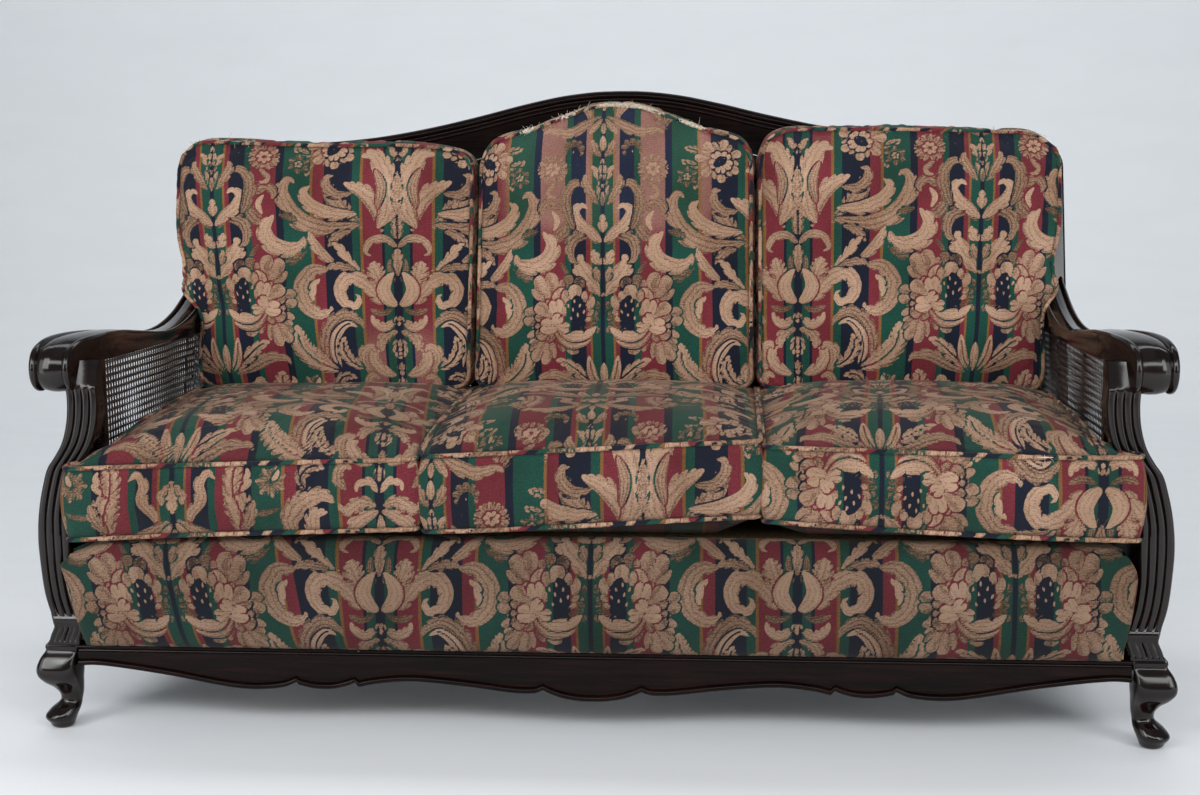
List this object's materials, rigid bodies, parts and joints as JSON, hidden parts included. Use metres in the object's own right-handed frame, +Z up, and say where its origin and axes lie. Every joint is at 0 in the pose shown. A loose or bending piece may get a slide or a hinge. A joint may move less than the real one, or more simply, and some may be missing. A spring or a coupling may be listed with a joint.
{
  "type": "torn sofa",
  "caption": "Sofa with a dark polished wood frame, scrolled arms, caned sides and back, cabriole front legs, and loose boxed cushions in worn striped floral jacquard.",
  "frame": {"origin": "on the floor, under the middle of the whole object's box", "axes": "+X to the right as seen from the front, +Y from the front to the back, +Z up"},
  "size_m": [1.8354, 0.817, 1.067],
  "materials": {
    "show_wood": "dark mahogany, French polished, with small chips and rubbed edges",
    "cane": "woven cane, stained dark",
    "beech": "planed, unfinished",
    "jute": "woven webbing",
    "spring_steel": "drawn wire, dull",
    "hessian": "coarse plain weave",
    "lining": "thin black cotton",
    "jacquard": "woven cotton in green, navy and wine stripes with tan flowers, faded and worn"
  },
  "bodies": {
    "root": {"right_front_leg": "show_wood", "left_front_leg": "show_wood", "front_apron": "show_wood", "right_arm_post": "show_wood", "left_arm_post": "show_wood", "right_arm_rail": "show_wood", "left_arm_rail": "show_wood", "right_arm_stile": "show_wood", "left_arm_stile": "show_wood", "right_back_post": "show_wood", "left_back_post": "show_wood", "crest_rail": "show_wood", "back_lower_rail": "show_wood", "right_back_muntin": "show_wood", "left_back_muntin": "show_wood", "right_side_apron": "show_wood", "left_side_apron": "show_wood", "back_cane_centre": "cane", "right_back_cane": "cane", "left_back_cane": "cane", "right_arm_cane_inner": "cane", "left_arm_cane_inner": "cane", "right_arm_cane_outer": "cane", "left_arm_cane_outer": "cane", "front_seat_rail": "beech", "rear_seat_rail": "show_wood", "right_side_rail": "beech", "left_side_rail": "beech", "right_cross_rail": "beech", "left_cross_rail": "beech", "right_corner_block": "beech", "left_corner_block": "beech", "webbing_front_to_back_1": "jute", "webbing_front_to_back_2": "jute", "webbing_front_to_back_3": "jute", "webbing_front_to_back_4": "jute", "webbing_front_to_back_5": "jute", "webbing_side_to_side_1": "jute", "webbing_side_to_side_2": "jute", "coil_spring_1_1": "spring_steel", "coil_spring_1_2": "spring_steel", "coil_spring_1_3": "spring_steel", "coil_spring_1_4": "spring_steel", "coil_spring_1_5": "spring_steel", "coil_spring_2_1": "spring_steel", "coil_spring_2_2": "spring_steel", "coil_spring_2_3": "spring_steel", "coil_spring_2_4": "spring_steel", "coil_spring_2_5": "spring_steel", "spring_hessian": "hessian", "seat_stuffing": "hessian", "dust_cover": "lining", "front_border": "jacquard", "centre_seat_cushion": "jacquard", "right_seat_cushion": "jacquard", "left_seat_cushion": "jacquard", "centre_back_cushion": "jacquard", "right_back_cushion": "jacquard", "left_back_cushion": "jacquard"}
  },
  "joints": []
}
